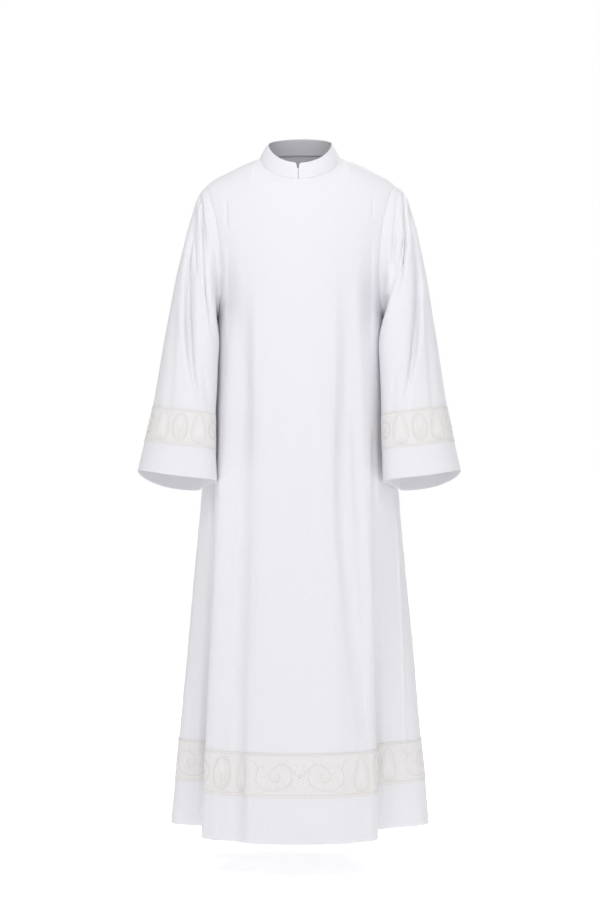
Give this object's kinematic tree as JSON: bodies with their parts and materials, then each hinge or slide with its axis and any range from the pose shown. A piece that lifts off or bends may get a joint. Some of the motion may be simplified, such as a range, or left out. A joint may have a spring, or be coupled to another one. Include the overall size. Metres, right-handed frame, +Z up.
{
  "type": "alb robe",
  "caption": "Full-length white alb with a standing collar split at the front, wide sleeves and ivory woven bands above the hem and cuffs, hollow as it hangs when worn.",
  "frame": {"origin": "on the robe's axis, at the height of the neck ends of the shoulder seams, where the robe hangs from the wearer", "axes": "-Y out of the robe's front, +X towards the wearer's left, +Z up"},
  "size_m": [0.693, 0.5588, 1.5086],
  "materials": {
    "twill": "white twill with a soft sheen",
    "galloon": "ivory figured band, woven tone on tone"
  },
  "bodies": {
    "root": {"front": "twill", "back": "twill", "sleeve_right": "twill", "sleeve_left": "twill", "collar": "twill", "band_hem_front": "galloon", "band_hem_back": "galloon", "band_sleeve_right": "galloon", "band_sleeve_left": "galloon"}
  },
  "joints": []
}
